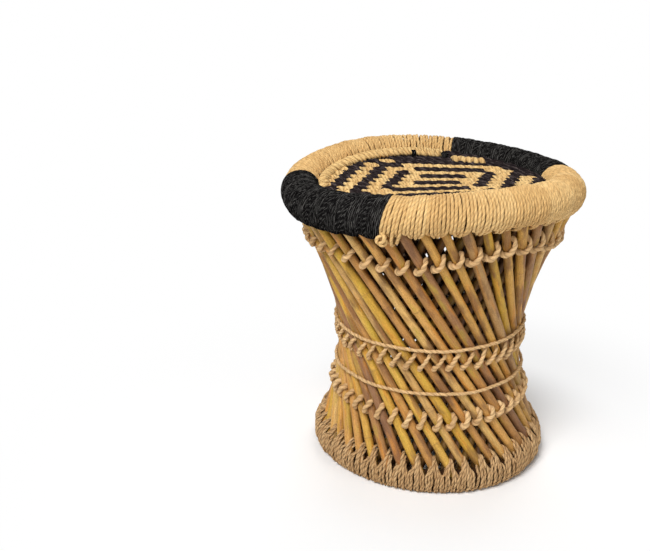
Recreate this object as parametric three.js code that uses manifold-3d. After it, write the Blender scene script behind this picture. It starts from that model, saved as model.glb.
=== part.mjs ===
// A mudda stool: two crossed layers of straight canes stand between a rope-bound seat ring and a
// rope-bound foot ring, and a woven cord seat is stretched across the seat ring.
// Millimetres, +Z up. The origin is on the floor, under the middle of the stool. -Y is its front.
import * as THREE from "three";
import { mergeVertices } from "three/addons/utils/BufferGeometryUtils.js";
import Module from "manifold-3d";

const wasm = await Module();
wasm.setup();

// Driving sizes
const height = 367;
const clearance = 0.3;
const weldDistance = 0.0001; // within which two corners of a mesh are one

const seatRing = {
  outerRadius: 180,
  boundRadius: 23.2, // of the ring's section, with its binding cord
  coreSides: 12,
};
const footRing = {
  outerRadius: 147.6,
  boundRadius: 15.2,
  coreSides: 10,
  bindingStartDegrees: 90, // at the back, where its binding starts and ends
};
const bindingCord = {
  radius: 1.9,
  loopSteps: 9, // an odd number puts a corner on the side that is away from the canes
  sides: 5,
  straightShare: 0.2, // of a loop, that lies straight on each side of the middle of a gap
  floorCutShare: 0.1, // of the cord's diameter, where it stands on the floor
  endGap: 0.8, // between the two ends of the foot ring's binding
};
const canes = {
  count: 44,
  radius: 5.2,
  innerRadius: 4.4,
  sides: 8,
  layerGap: 1.1, // between the two layers, where canes cross
  seatSplay: 1.6, // of the outer layer's axes past the middle of the seat ring
  footSplay: 1.3, // and past the middle of the foot ring
  twistDegrees: 80, // from the seat ring down to the foot ring
  startDegrees: -163.6, // where the first cane meets the seat ring
  endChecks: 16, // points round a cane's end, that are kept off a ring's core
};
const lashingCord = {
  radius: 1.8,
  sides: 4,
  overCane: 3.4, // from the middle of a cane to where the cord turns down beside it
};
// Each lashing climbs over every cane and drops in the groove after it.
const lashings = {
  upper_lashing: { belowSeatRing: 50.8, climb: 8, dip: 7.3 }, // below its middle
  waist_lashing: { height: 161.5, climb: 14, dip: 3.4 },
  lower_lashing: { aboveFootRing: 72.18, climb: 9, dip: 4.6 }, // above its middle
};
const girthCord = {
  radius: 1.9,
  sides: 5,
};
const girths = {
  upper_girth_cord: { height: 177 },
  lower_girth_cord: { height: 120 },
};
// It runs round inside the inner canes, where the waist lashing is.
const innerCord = {
  radius: 2.2,
  bite: 1, // how deep it is pulled into the canes
  sides: 6,
};
const seat = {
  edgeRise: 7.2, // of its edge over the middle of the seat ring
  sag: 4,
  thickness: 8.4,
  flatRadius: 62,
  segments: 44,
};

// The seat ring's binding changes colour. It runs anticlockwise, one loop to each gap between canes.
const seatBindings = [
  { name: "seat_binding_natural_front", loops: 15, colour: "natural" },
  { name: "seat_binding_black_back", loops: 8, colour: "black" },
  { name: "seat_binding_natural_back", loops: 13, colour: "natural" },
  { name: "seat_binding_black_front", loops: 8, colour: "black" },
];
const firstSeatLoopDegrees = -114; // where the front binding starts

const colours = {
  cane: 0xc9a25c,
  innerCane: 0xb58a4c,
  natural: 0xd2a765,
  footCord: 0xb98c55,
  black: 0x1b1a1a,
  reed: 0x9c7b45,
};
const degree = Math.PI / 180;
const pitch = (2 * Math.PI) / canes.count;

// Sizes that follow
const centreRadius = (ring) => ring.outerRadius - ring.boundRadius;
const cordPath = (ring) => ring.boundRadius - bindingCord.radius;
// The binding's straight steps and flat underside come nearer to the core than its corners do.
const coreRadius = (ring) =>
  cordPath(ring) * Math.cos(Math.PI / bindingCord.loopSteps) -
  bindingCord.radius * Math.cos(Math.PI / bindingCord.sides) -
  clearance;
seatRing.middle = height - seatRing.boundRadius;
footRing.middle = footRing.boundRadius - bindingCord.floorCutShare * 2 * bindingCord.radius;
const underSeatRing = seatRing.middle - cordPath(seatRing);
const overFootRing = footRing.middle + cordPath(footRing);
lashings.upper_lashing.height = seatRing.middle - lashings.upper_lashing.belowSeatRing;
lashings.lower_lashing.height = footRing.middle + lashings.lower_lashing.aboveFootRing;

const outerLayer = {
  radius: canes.radius,
  top: centreRadius(seatRing) + canes.seatSplay,
  foot: centreRadius(footRing) + canes.footSplay,
  twist: canes.twistDegrees * degree,
};
// The inner layer turns the other way, by as much as brings both layers side by side at both rings.
const layerSpacing = canes.radius + canes.innerRadius + canes.layerGap;
const innerLayer = {
  radius: canes.innerRadius,
  top: outerLayer.top - layerSpacing,
  foot: outerLayer.foot - layerSpacing,
  twist: outerLayer.twist - Math.ceil((2 * outerLayer.twist) / pitch) * pitch,
};

// A point of a cane's axis, at a height. A number between two whole ones is a place between two canes.
function axisPoint(layer, number, z) {
  const start = canes.startDegrees * degree + number * pitch;
  const drop = (underSeatRing - z) / (underSeatRing - overFootRing);
  const top = new THREE.Vector3(layer.top * Math.cos(start), layer.top * Math.sin(start), underSeatRing);
  const turned = start + layer.twist;
  const foot = new THREE.Vector3(
    layer.foot * Math.cos(turned),
    layer.foot * Math.sin(turned),
    overFootRing,
  );
  return top.lerp(foot, drop);
}

// The same point with two directions: out of the cane's layer, and to the next cane
function axisFrame(layer, number, z) {
  const point = axisPoint(layer, number, z);
  const foot = axisPoint(layer, number, overFootRing);
  const along = axisPoint(layer, number, underSeatRing).sub(foot).normalize();
  const round = new THREE.Vector3(-point.y, point.x, 0);
  const outward = round.cross(along).normalize();
  const side = along.clone().cross(outward);
  return { point, outward, side };
}
const axisRadius = (layer, z) => Math.hypot(axisPoint(layer, 0, z).x, axisPoint(layer, 0, z).y);
const axisAngle = (layer, z) => Math.atan2(axisPoint(layer, 0, z).y, axisPoint(layer, 0, z).x);

// How near the end of a cane at a height comes to the middle line of a ring
function endToRing(layer, ring, z) {
  const { point, outward, side } = axisFrame(layer, 0, z);
  let nearest = Infinity;
  for (let step = 0; step < canes.endChecks; step++) {
    const turn = (2 * Math.PI * step) / canes.endChecks;
    const edge = point
      .clone()
      .addScaledVector(side, layer.radius * Math.cos(turn))
      .addScaledVector(outward, layer.radius * Math.sin(turn));
    const offset = Math.hypot(edge.x, edge.y) - centreRadius(ring);
    nearest = Math.min(nearest, Math.hypot(offset, edge.z - ring.middle));
  }
  return nearest;
}

// The height at which a cane's end just clears a ring's core, found by halving
function seatedHeight(layer, ring) {
  let free = (underSeatRing + overFootRing) / 2;
  let sunk = ring.middle;
  for (let halving = 0; halving < 30; halving++) {
    const middle = (free + sunk) / 2;
    if (endToRing(layer, ring, middle) > coreRadius(ring) + clearance) free = middle;
    else sunk = middle;
  }
  return free;
}

// A straight cane of a layer, from the foot ring's core up to the seat ring's
function caneMesh(layer, number) {
  const low = axisPoint(layer, number, seatedHeight(layer, footRing));
  const high = axisPoint(layer, number, seatedHeight(layer, seatRing));
  const along = high.clone().sub(low);
  const mesh = new THREE.Mesh(
    new THREE.CylinderGeometry(layer.radius, layer.radius, along.length(), canes.sides),
  );
  mesh.position.copy(low).addScaledVector(along, 1 / 2);
  mesh.quaternion.setFromUnitVectors(new THREE.Vector3(0, 1, 0), along.normalize());
  return mesh;
}

// A cord along points. Each section is square to its path, and turned to the outward direction there.
function cordGeometry(points, outwards, radius, sides, closed) {
  const count = points.length;
  const positions = [];
  for (let i = 0; i < count; i++) {
    const before = points[closed ? (i + count - 1) % count : Math.max(i - 1, 0)];
    const after = points[closed ? (i + 1) % count : Math.min(i + 1, count - 1)];
    const along = after.clone().sub(before).normalize();
    const up = outwards[i].clone().addScaledVector(along, -outwards[i].dot(along)).normalize();
    const side = along.clone().cross(up);
    for (let k = 0; k < sides; k++) {
      const turn = (2 * Math.PI * k) / sides;
      const corner = points[i]
        .clone()
        .addScaledVector(up, radius * Math.cos(turn))
        .addScaledVector(side, radius * Math.sin(turn));
      positions.push(corner.x, corner.y, corner.z);
    }
  }
  const triangles = [];
  for (let i = 0; i < (closed ? count : count - 1); i++) {
    const next = ((i + 1) % count) * sides;
    for (let k = 0; k < sides; k++) {
      const beside = (k + 1) % sides;
      triangles.push(i * sides + k, i * sides + beside, next + k);
      triangles.push(i * sides + beside, next + beside, next + k);
    }
  }
  const last = (count - 1) * sides;
  for (let k = 1; !closed && k < sides - 1; k++) {
    triangles.push(0, k + 1, k);
    triangles.push(last, last + k, last + k + 1);
  }
  const geometry = new THREE.BufferGeometry();
  geometry.setAttribute("position", new THREE.Float32BufferAttribute(positions, 3));
  geometry.setIndex(triangles);
  return geometry;
}

// A point of a binding's path, after a number of turns round a ring's section. The path crosses the
// canes' side of the ring straight, between two canes, and moves on to the next gap round the far side.
function bindingPoint(ring, canesSide, firstAngle, loopPitch, turns) {
  const round = Math.floor(turns);
  const part = turns - round;
  const straight = bindingCord.straightShare;
  const moved = THREE.MathUtils.clamp((part - straight) / (1 - 2 * straight), 0, 1);
  const angle = firstAngle + (round + moved) * loopPitch;
  const turn = canesSide + 2 * Math.PI * part;
  const outward = new THREE.Vector3(
    Math.cos(turn) * Math.cos(angle),
    Math.cos(turn) * Math.sin(angle),
    Math.sin(turn),
  );
  const middle = new THREE.Vector3(
    centreRadius(ring) * Math.cos(angle),
    centreRadius(ring) * Math.sin(angle),
    ring.middle,
  );
  return { point: middle.addScaledVector(outward, cordPath(ring)), outward };
}

// A binding's cord, over a number of loops. Its ends are cut square in the middle of a straight step,
// so that two bindings meet end to end there.
function bindingGeometry(name, ring, canesSide, firstAngle, loopPitch, loops, endGap) {
  const steps = bindingCord.loopSteps;
  const points = [];
  const outwards = [];
  for (let i = -1; i <= loops * steps; i++) {
    const { point, outward } = bindingPoint(ring, canesSide, firstAngle, loopPitch, (i + 1 / 2) / steps);
    points.push(point);
    outwards.push(outward);
  }
  cutBack(points, 0, 1, endGap / 2);
  cutBack(points, points.length - 1, points.length - 2, endGap / 2);
  const geometry = cordGeometry(points, outwards, bindingCord.radius, bindingCord.sides, false);
  printLeastGap(name, geometry);
  return geometry;
}

// Moves an end point to the middle of its step, and back from there
function cutBack(points, end, neighbour, distance) {
  const step = points[neighbour].clone().sub(points[end]);
  points[end].addScaledVector(step, 1 / 2).addScaledVector(step.normalize(), distance);
}

// The least distance from a winding to its other turns, over the points of its surface
function printLeastGap(name, geometry) {
  const position = geometry.getAttribute("position");
  const halfLoop = Math.floor(bindingCord.loopSteps / 2) * bindingCord.sides;
  const one = new THREE.Vector3();
  const other = new THREE.Vector3();
  let least = Infinity;
  for (let i = 0; i < position.count; i++) {
    one.fromBufferAttribute(position, i);
    for (let j = i + halfLoop; j < position.count; j++) {
      least = Math.min(least, one.distanceTo(other.fromBufferAttribute(position, j)));
    }
  }
  console.log(name + ": least gap to itself " + least.toFixed(2) + " mm");
}

// A lashing: it climbs over each cane of the outer layer, and drops along the groove after it.
function lashingGeometry({ height: z, climb, dip }) {
  const reach = canes.radius + clearance + lashingCord.radius;
  const points = [];
  const outwards = [];
  const add = (number, level, across, out) => {
    const { point, outward, side } = axisFrame(outerLayer, number, level);
    points.push(point.addScaledVector(side, across).addScaledVector(outward, out));
    outwards.push(outward);
  };
  for (let number = 0; number < canes.count; number++) {
    add(number, z - climb / 2, -lashingCord.overCane, reach);
    add(number, z + climb / 2, lashingCord.overCane, reach);
    add(number + 1 / 2, z + climb / 2, 0, reach - dip);
    add(number + 1 / 2, z - climb / 2, 0, reach - dip);
  }
  return cordGeometry(points, outwards, lashingCord.radius, lashingCord.sides, true);
}

// A cord tied round the outer canes, in straight steps that touch each cane
function girthGeometry({ height: z }) {
  const reach = axisRadius(outerLayer, z) + canes.radius + clearance + girthCord.radius;
  const corner = reach / Math.cos(pitch / 2);
  const points = [];
  const outwards = [];
  for (let number = 0; number < canes.count; number++) {
    const angle = axisAngle(outerLayer, z) + (number + 1 / 2) * pitch;
    const outward = new THREE.Vector3(Math.cos(angle), Math.sin(angle), 0);
    points.push(outward.clone().multiplyScalar(corner).setZ(z));
    outwards.push(outward);
  }
  return cordGeometry(points, outwards, girthCord.radius, girthCord.sides, true);
}

function solidOf(mesh) {
  mesh.updateMatrixWorld(true);
  const positions = new THREE.BufferGeometry();
  const flat = mesh.geometry.index ? mesh.geometry.toNonIndexed() : mesh.geometry;
  positions.setAttribute("position", flat.getAttribute("position").clone());
  positions.applyMatrix4(mesh.matrixWorld);
  const merged = mergeVertices(positions, weldDistance);
  return new wasm.Manifold(
    new wasm.Mesh({
      numProp: 3,
      vertProperties: merged.getAttribute("position").array,
      triVerts: new Uint32Array(merged.index.array),
    }),
  );
}

function geometryOf(solid) {
  const mesh = solid.getMesh();
  const geometry = new THREE.BufferGeometry();
  geometry.setAttribute("position", new THREE.BufferAttribute(mesh.vertProperties, 3));
  geometry.setIndex(new THREE.BufferAttribute(mesh.triVerts, 1));
  return geometry;
}

// The inner canes, bound together by the cord that runs round inside them
function innerLayerGeometry() {
  const z = lashings.waist_lashing.height;
  const reach = axisRadius(innerLayer, z) - canes.innerRadius - innerCord.radius + innerCord.bite;
  const cord = new THREE.Mesh(
    new THREE.TorusGeometry(reach, innerCord.radius, innerCord.sides, canes.count),
  );
  cord.position.z = z;
  let solid = solidOf(cord);
  for (let number = 0; number < canes.count; number++) {
    solid = solid.add(solidOf(caneMesh(innerLayer, number)));
  }
  return geometryOf(solid);
}

// The foot ring's binding passes through every second gap. It stands on the floor, and is cut flat there.
function footBindingGeometry() {
  const footGap = axisAngle(outerLayer, overFootRing) + pitch / 2;
  const startGap = Math.round((footRing.bindingStartDegrees * degree - footGap) / pitch);
  const firstAngle = footGap + startGap * pitch;
  const loops = canes.count / 2;
  const cord = new THREE.Mesh(
    bindingGeometry("foot_binding", footRing, Math.PI / 2, firstAngle, 2 * pitch, loops, bindingCord.endGap),
  );
  const cutter = new THREE.Mesh(
    new THREE.BoxGeometry(2 * height, 2 * height, height).translate(0, 0, -height / 2),
  );
  return geometryOf(solidOf(cord).subtract(solidOf(cutter)));
}

function coreGeometry(ring) {
  return new THREE.TorusGeometry(centreRadius(ring), coreRadius(ring), ring.coreSides, canes.count);
}

// The woven seat: a shallow dish between the inner sides of the seat ring's binding
function seatGeometry() {
  // The binding's corner that comes nearest to the seat is half a step away from level.
  const bindingReach = seatRing.boundRadius * Math.cos(Math.PI / (2 * bindingCord.loopSteps));
  const edge = centreRadius(seatRing) - bindingReach - clearance;
  const high = seatRing.middle + seat.edgeRise;
  const low = high - seat.sag;
  const profile = [
    new THREE.Vector2(0, low - seat.thickness),
    new THREE.Vector2(seat.flatRadius, low - seat.thickness),
    new THREE.Vector2(edge, high - seat.thickness),
    new THREE.Vector2(edge, high),
    new THREE.Vector2(seat.flatRadius, low),
    new THREE.Vector2(0, low),
  ];
  return new THREE.LatheGeometry(profile, seat.segments).rotateX(Math.PI / 2);
}

const stool = new THREE.Group();

function place(name, mesh, colour) {
  mesh.name = name;
  mesh.material = new THREE.MeshStandardMaterial({ color: colours[colour], roughness: 0.8, metalness: 0 });
  stool.add(mesh);
}

const seatCore = new THREE.Mesh(coreGeometry(seatRing));
seatCore.position.z = seatRing.middle;
place("seat_ring_core", seatCore, "reed");

const footCore = new THREE.Mesh(coreGeometry(footRing));
footCore.position.z = footRing.middle;
place("foot_ring_core", footCore, "reed");

const seatGap = axisAngle(outerLayer, underSeatRing) + pitch / 2;
const firstLoop = Math.round((firstSeatLoopDegrees * degree - seatGap) / pitch);
let loopsDone = 0;
for (const { name, loops, colour } of seatBindings) {
  const firstAngle = seatGap + (firstLoop + loopsDone) * pitch;
  const geometry = bindingGeometry(name, seatRing, -Math.PI / 2, firstAngle, pitch, loops, clearance);
  place(name, new THREE.Mesh(geometry), colour);
  loopsDone += loops;
}
place("foot_binding", new THREE.Mesh(footBindingGeometry()), "footCord");

for (let number = 0; number < canes.count; number++) {
  place("cane_" + String(number + 1).padStart(2, "0"), caneMesh(outerLayer, number), "cane");
}
place("inner_cane_layer", new THREE.Mesh(innerLayerGeometry()), "innerCane");

for (const [name, sizes] of Object.entries(lashings)) {
  place(name, new THREE.Mesh(lashingGeometry(sizes)), "natural");
}
for (const [name, sizes] of Object.entries(girths)) {
  place(name, new THREE.Mesh(girthGeometry(sizes)), "natural");
}
place("woven_seat", new THREE.Mesh(seatGeometry()), "natural");

export default stool;
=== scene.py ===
# A mudda stool: crossed canes between two cord-bound rings, with a woven cord seat.
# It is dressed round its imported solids. Lengths are in metres, written as millimetres times mm.
# The radii of cords, and the shapes of ties, loops and beads, are in bare millimetres.
import random
from math import atan2, ceil, cos, exp, floor, hypot, pi, sin, sqrt

import bmesh
import bpy
from mathutils import Matrix, Vector, noise


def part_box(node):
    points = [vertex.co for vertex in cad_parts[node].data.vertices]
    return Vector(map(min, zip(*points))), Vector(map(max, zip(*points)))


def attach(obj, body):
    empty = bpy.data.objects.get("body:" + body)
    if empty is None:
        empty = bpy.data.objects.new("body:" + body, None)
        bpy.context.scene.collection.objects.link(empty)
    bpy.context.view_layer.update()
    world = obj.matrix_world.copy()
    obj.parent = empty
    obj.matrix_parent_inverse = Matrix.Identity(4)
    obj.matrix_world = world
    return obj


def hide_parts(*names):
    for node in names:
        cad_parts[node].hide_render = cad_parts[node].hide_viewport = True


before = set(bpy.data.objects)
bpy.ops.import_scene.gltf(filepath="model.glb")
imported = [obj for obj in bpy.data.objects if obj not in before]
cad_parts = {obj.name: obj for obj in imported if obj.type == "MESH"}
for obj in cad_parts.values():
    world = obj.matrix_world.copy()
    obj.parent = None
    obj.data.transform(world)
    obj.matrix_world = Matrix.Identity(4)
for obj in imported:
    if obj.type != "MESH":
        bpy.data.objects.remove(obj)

mm = 0.001
degree = pi / 180
upward = Vector((0, 0, 1))
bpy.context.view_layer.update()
draw = random.Random(7)  # every random number comes from here, in order


# Shader maths: sums of sockets become Math nodes
class Socket:
    def __init__(self, finish, output):
        self.finish = finish
        self.output = output

    def maths(self, operation, *values):
        settings = {"operation": operation}
        return self.finish.node("Math", settings, dict(enumerate(values)))

    def __add__(self, other):
        return self.maths("ADD", self, other)

    def __sub__(self, other):
        return self.maths("SUBTRACT", self, other)

    def __rsub__(self, other):
        return self.maths("SUBTRACT", other, self)

    def __mul__(self, other):
        return self.maths("MULTIPLY", self, other)

    def __pow__(self, other):
        return self.maths("POWER", self, other)

    __radd__ = __add__
    __rmul__ = __mul__

    def most(self, other):
        return self.maths("MAXIMUM", self, other)

    def sine(self):
        return self.maths("SINE", self)

    def cosine(self):
        return self.maths("COSINE", self)

    def ramp(self, low, high):  # 0 at low, 1 at high, smooth between
        settings = {"interpolation_type": "SMOOTHSTEP"}
        return self.finish.node("MapRange", settings, {0: self, 1: low, 2: high})


# The nodes of one material, or of the surround
class Finish:
    def __init__(self, owner):
        owner.use_nodes = True
        self.owner = owner
        self.tree = owner.node_tree
        self.tree.nodes.clear()

    def node(self, kind, settings=None, inputs=None, output=0):
        made = self.tree.nodes.new("ShaderNode" + kind)
        for key, value in (settings or {}).items():
            if key == "stops":
                self.setStops(made.color_ramp, value)
            else:
                setattr(made, key, value)
        for key, value in (inputs or {}).items():
            if isinstance(value, Socket):
                self.tree.links.new(value.output, made.inputs[key])
            else:
                made.inputs[key].default_value = value
        return Socket(self, made.outputs[output]) if made.outputs else None

    def setStops(self, ramp, stops):
        while len(ramp.elements) < len(stops):
            ramp.elements.new(1)
        for element, (place, colour) in zip(ramp.elements, stops):
            element.position = place
            element.color = colour

    def attribute(self, name, output="Fac"):
        return self.node("Attribute", {"attribute_name": name}, output=output)

    def combine(self, x, y, z):
        return self.node("CombineXYZ", None, {0: x, 1: y, 2: z})

    def noise(self, vector, scale, detail):
        inputs = {"Vector": vector, "Scale": scale, "Detail": detail}
        return self.node("TexNoise", None, inputs)

    def grain(self, spot, across, along, scale, detail):  # noise with its own scale along Z
        inputs = {0: spot, 1: (across, across, along)}
        stretched = self.node("VectorMath", {"operation": "MULTIPLY"}, inputs)
        return self.noise(stretched, scale, detail)

    def coloured(self, amount, stops):
        return self.node("ValToRGB", {"stops": stops}, {0: amount})

    def blend(self, amount, first, second, mode="MIX"):  # 6, 7 and output 2 are the node's colours
        settings = {"data_type": "RGBA", "blend_type": mode, "clamp_factor": True}
        return self.node("Mix", settings, {0: amount, 6: first, 7: second}, output=2)

    def shaded(self, amount, colour, pattern, low, high, dark):  # darker where the pattern is low
        shade = self.coloured(pattern, [(low, dark), (high, tint(255, 255, 255))])
        return self.blend(amount, colour, shade, "MULTIPLY")

    def surface(self, colour, roughness, shine, height, depth):
        bump = self.node("Bump", None, {"Height": height, "Distance": depth})
        inputs = {"Base Color": colour, "Roughness": roughness, "Normal": bump, "Specular IOR Level": shine}
        shader = self.node("BsdfPrincipled", None, inputs)
        self.node("OutputMaterial", None, {"Surface": shader})
        return self.owner


def tint(red, green, blue):  # a colour as the eye names it, 0 to 255, made linear
    def linear(value):
        share = value / 255
        return share / 12.92 if share <= 0.04045 else ((share + 0.055) / 1.055) ** 2.4
    return (linear(red), linear(green), linear(blue), 1)


# Twisted cord. cordRun is the length along a cord, cordTone a number of its own, 0 to 1.
cordLook = {
    "plies": 2,
    "runShift": 45, "toneShift": 60,  # how far the fibres' noise moves with each
    "shade": tint(196, 190, 182),  # what dark fibres are multiplied by
    "relief": 0.35 * mm,
}


def cordFinish(name, pale, middle, dark, valleyShade, roughness=0.85, shine=0.15, grooveShade=0.3, paintedGlint=None):
    cord = Finish(bpy.data.materials.new(name))
    run = cord.attribute("cordRun")
    tone = cord.attribute("cordTone")
    sweepMap = cord.node("UVMap", {"uv_map": "UVMap"})  # X along the cord, Y around it
    around = cord.node("SeparateXYZ", None, {0: sweepMap}, output="Y") * (2 * pi)
    place = cord.node("TexCoord", output="Object")
    fibreSpot = cord.combine(
        around.cosine(), around.sine(), run * cordLook["runShift"] + tone * cordLook["toneShift"])
    fibres = cord.noise(fibreSpot, scale=3.5, detail=3)
    coarse = cord.noise(fibreSpot, scale=1.1, detail=1)
    patches = cord.noise(place, scale=38, detail=2)
    amount = patches * 0.25 + coarse * 0.5 + tone * 0.2 + 0.03
    colour = cord.coloured(amount, [(0.2, tint(*dark)), (0.5, tint(*middle)), (0.8, tint(*pale))])
    colour = cord.shaded(1.0, colour, fibres, low=0.3, high=0.65, dark=cordLook["shade"])
    # painted shade: the colour darkens towards the valleys between the plies
    between = 0.5 - 0.5 * (around * cordLook["plies"]).cosine()
    colour = cord.blend((between ** 3) * grooveShade, colour, tint(*valleyShade))
    if paintedGlint:  # painted highlight: the crests of the plies are made paler, here and there, as glints of light
        crest = (1 - between) ** 2 * 0.75 + 0.1
        colour = cord.blend(crest * fibres.ramp(0.48, 0.62), colour, tint(*paintedGlint))
    height = fibres * 0.6 - between * 0.3
    return cord.surface(colour, roughness, shine, height, cordLook["relief"])


# Cane. caneSpot is a place on it, caneTone a number of its own, caneNode 1 at its nodes.
caneLook = {
    "hues": [
        (0.0, tint(216, 174, 90)), (0.16, tint(202, 161, 58)), (0.32, tint(214, 164, 92)),
        (0.5, tint(198, 148, 82)), (0.66, tint(180, 132, 74)), (0.83, tint(148, 108, 76)),
        (1.0, tint(222, 182, 110)),
    ],
    "warm": tint(214, 140, 44), "brown": tint(112, 76, 52), "green": tint(190, 164, 56),
    "node": tint(124, 84, 52),
    "streak": tint(206, 190, 166), "mottle": tint(198, 182, 160),  # what dark marks are multiplied by
    "toneShift": 9,  # how far the marks move on from cane to cane
    "shine": 0.3, "relief": 0.25 * mm,
}


def caneFinish(name, dim):
    cane = Finish(bpy.data.materials.new(name))
    spot = cane.attribute("caneSpot", "Vector")
    tone = cane.attribute("caneTone")
    node = cane.attribute("caneNode")
    shifted = cane.combine(0.0, 0.0, tone * caneLook["toneShift"])
    spot = cane.node("VectorMath", {"operation": "ADD"}, {0: spot, 1: shifted})
    hue = cane.coloured(tone, caneLook["hues"])
    patches = cane.grain(spot, across=90, along=22, scale=1.0, detail=3)
    warm = cane.grain(spot, across=120, along=14, scale=1.3, detail=2)
    streaks = cane.grain(spot, across=760, along=75, scale=1.0, detail=3)
    fine = cane.grain(spot, across=1500, along=620, scale=1.0, detail=2)
    colour = cane.blend(warm.ramp(0.52, 0.7) * 0.5, hue, caneLook["warm"])
    colour = cane.blend(patches.ramp(0.48, 0.66) * 0.7, colour, caneLook["brown"])
    colour = cane.blend(patches.ramp(0.44, 0.28) * 0.6, colour, caneLook["green"])
    colour = cane.shaded(0.6, colour, streaks, low=0.3, high=0.6, dark=caneLook["streak"])
    colour = cane.shaded(0.7, colour, fine, low=0.34, high=0.56, dark=caneLook["mottle"])
    colour = cane.blend(node * 0.4, colour, caneLook["node"])
    if dim < 1:  # painted shade: the inner layer is darkened, as if in the shade inside the stool
        colour = cane.blend(1.0, colour, (dim, dim * 0.88, dim * 0.78, 1), "MULTIPLY")
    roughness = 0.42 + streaks * 0.25
    height = streaks * 0.5 + fine * 0.3
    return cane.surface(colour, roughness, caneLook["shine"], height, caneLook["relief"])


# Of each cord: pale, middle and dark, and the painted shade in the valleys between its plies
naturalCord = cordFinish(
    "natural_cord", (247, 213, 153), (231, 191, 129), (198, 155, 97), (104, 66, 30), grooveShade=0.28)
seatCord = cordFinish(
    "seat_cord", (252, 222, 162), (236, 198, 134), (194, 150, 94), (96, 60, 28), grooveShade=0.5)
footCord = cordFinish(
    "foot_cord", (230, 196, 148), (210, 172, 124), (170, 130, 86), (66, 40, 20), grooveShade=0.6)
tieCord = cordFinish(
    "tie_cord", (246, 212, 160), (228, 190, 138), (192, 150, 102), (104, 66, 38), grooveShade=0.4)
# The two black cords: the last colour of each is a painted highlight on the crests of its plies
blackCord = cordFinish(
    "black_cord", (20, 19, 20), (11, 10, 11), (6, 6, 6), (2, 2, 3),
    roughness=0.6, shine=0.0, grooveShade=0.5, paintedGlint=(98, 96, 93))
seatBlack = cordFinish(
    "seat_black_cord", (58, 49, 50), (40, 34, 36), (26, 22, 24), (8, 6, 8),
    roughness=0.7, shine=0.0, paintedGlint=(96, 86, 84))
outerCane = caneFinish("outer_cane", 1)
# The inner layer: the same cane finish, darkened by painted shade
shadedInnerCane = caneFinish("inner_cane", 0.29)
reedCore = cordFinish("reed_core", (96, 64, 34), (74, 48, 26), (50, 32, 18), (30, 18, 10))


def dress(piece, node):  # every piece rides on the one body
    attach(piece, "root")
    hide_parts(node)


def finished(name, mesh, material):
    mesh.materials.clear()
    mesh.materials.append(material)
    mesh.polygons.foreach_set("use_smooth", [True] * len(mesh.polygons))
    piece = bpy.data.objects.new(name, mesh)
    bpy.context.scene.collection.objects.link(piece)
    return piece


# The section of a cord of that many plies, 1 mm in radius. It runs clockwise, so that tubes face out.
def cordSection(plies, corners, waist):
    outline = bpy.data.curves.new("section", "CURVE")
    outline.dimensions = "2D"
    spline = outline.splines.new("POLY")
    spline.points.add(corners - 1)
    spline.use_cyclic_u = True
    for corner, point in enumerate(spline.points):
        angle = -2 * pi * corner / corners
        reach = mm * (1 - waist / 2 + waist / 2 * cos(plies * angle))
        point.co = (reach * cos(angle), reach * sin(angle), 0, 1)
    section = bpy.data.objects.new("section", outline)
    section["corners"] = corners
    section["plies"] = plies
    return section


twoPly = cordSection(2, 8, 0.24)
coarsePly = cordSection(2, 6, 0.2)
softPly = cordSection(2, 8, 0.14)
finePly = cordSection(2, 8, 0.06)
threePly = cordSection(3, 9, 0.3)
onePly = cordSection(1, 12, 0.0)


def wobble(x, y=0.0, z=0.0):  # smooth, about -1 to 1, at a place in a noise
    return noise.noise(Vector((x, y, z))) * 1.6


def cord(points, radius, tone=None, closed=False):  # radius is in mm, one number or one for each point
    radii = radius if isinstance(radius, list) else [radius] * len(points)
    tone = draw.random() if tone is None else tone
    return {"points": points, "radii": radii, "tone": tone, "closed": closed}


def runsOf(points):
    runs = [0]
    for before, after in zip(points, points[1:]):
        runs.append(runs[-1] + (after - before).length)
    return runs


unevenTwist = {"by": 1.1, "often": 24}  # open cords aren't evenly twisted, by about so many radians


# Cords along their points, twisted once in each lay, as one mesh
def sweepCords(name, cords, section, lay, material):
    curve = bpy.data.curves.new(name, "CURVE")
    curve.dimensions = "3D"
    curve.bevel_mode = "OBJECT"
    curve.bevel_object = section
    marks = []
    for one in cords:
        points = one["points"]
        runs = runsOf(points)
        twists = runs[-1] / lay
        if one["closed"]:
            twists = round(twists * section["plies"]) / section["plies"]
        spline = curve.splines.new("POLY")
        spline.points.add(len(points) - 1)
        spline.use_cyclic_u = one["closed"]
        start = draw.uniform(0, 2 * pi)
        uneven = 0 if one["closed"] else unevenTwist["by"]
        for spot, point, radius, run in zip(spline.points, points, one["radii"], runs):
            evenly = start + 2 * pi * twists * run / runs[-1]
            spot.co = (*point, 1)
            spot.radius = radius
            spot.tilt = evenly + uneven * wobble(run * unevenTwist["often"], start)
            marks.append((run, one["tone"]))
    holder = bpy.data.objects.new(name, curve)
    bpy.context.scene.collection.objects.link(holder)
    graph = bpy.context.evaluated_depsgraph_get()
    mesh = bpy.data.meshes.new_from_object(holder.evaluated_get(graph))
    bpy.data.objects.remove(holder)
    bpy.data.curves.remove(curve)
    mesh.name = name
    if len(mesh.vertices) != len(marks) * section["corners"]:
        raise ValueError(name + ": the sweep has other points than its cords")
    for place, attributeName in enumerate(("cordRun", "cordTone")):
        values = [mark[place] for mark in marks for _ in range(section["corners"])]
        mesh.attributes.new(attributeName, "FLOAT", "POINT").data.foreach_set("value", values)
    solid = bmesh.new()
    solid.from_mesh(mesh)
    bmesh.ops.holes_fill(solid, edges=[edge for edge in solid.edges if edge.is_boundary], sides=0)
    bmesh.ops.recalc_face_normals(solid, faces=solid.faces)
    solid.to_mesh(mesh)
    solid.free()
    return finished(name, mesh, material)


def dressCords(name, node, cords, section, lay, material):
    piece = sweepCords(name, cords, section, lay, material)
    dress(piece, node)
    print(name, "has about", len(piece.data.polygons) * 2, "triangles")


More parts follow.
